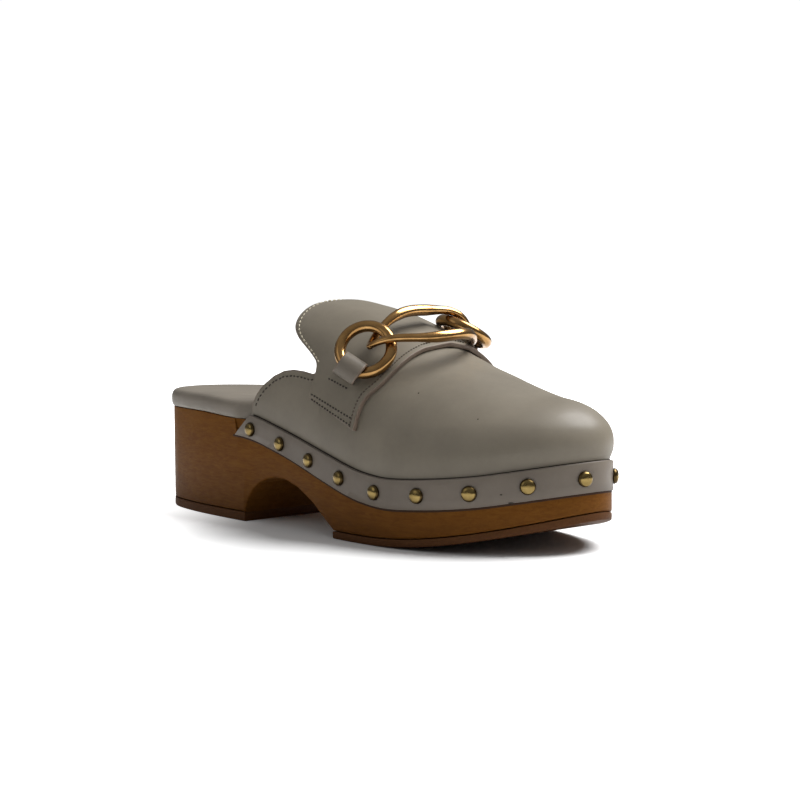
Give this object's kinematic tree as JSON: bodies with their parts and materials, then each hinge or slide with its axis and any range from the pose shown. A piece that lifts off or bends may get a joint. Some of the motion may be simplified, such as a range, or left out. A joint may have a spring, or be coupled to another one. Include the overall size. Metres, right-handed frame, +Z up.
{
  "type": "clog mule",
  "caption": "Right clog mule: carved wooden sole with block heel, closed-toe leather upper nailed over a rand, and an instep saddle that rises as a tongue and carries a chain ornament.",
  "frame": {"origin": "middle of the bounding box in X and Y, on the floor plane under the sole", "axes": "+X from heel to toe, +Y to the big toe's side, +Z up"},
  "size_m": [0.253, 0.0912, 0.0952],
  "materials": {
    "wood": "mid brown, satin, with fine grain along the shoe",
    "rubber": "mid brown, matte",
    "leather": "smooth taupe, soft satin",
    "nail_metal": "polished",
    "ornament_metal": "antique gold, satin"
  },
  "bodies": {
    "root": {"wood_sole": "wood", "outsole": "rubber", "heel_tip": "rubber", "insole": "leather", "upper": "leather", "rand": "leather", "saddle": "leather", "ring_lateral": "ornament_metal", "keeper_lateral": "leather", "ring_medial": "ornament_metal", "keeper_medial": "leather", "link": "ornament_metal", "nail_01": "nail_metal", "nail_02": "nail_metal", "nail_03": "nail_metal", "nail_04": "nail_metal", "nail_05": "nail_metal", "nail_06": "nail_metal", "nail_07": "nail_metal", "nail_08": "nail_metal", "nail_09": "nail_metal", "nail_10": "nail_metal", "nail_11": "nail_metal", "nail_12": "nail_metal", "nail_13": "nail_metal", "nail_14": "nail_metal", "nail_15": "nail_metal", "nail_16": "nail_metal", "nail_17": "nail_metal"}
  },
  "joints": []
}
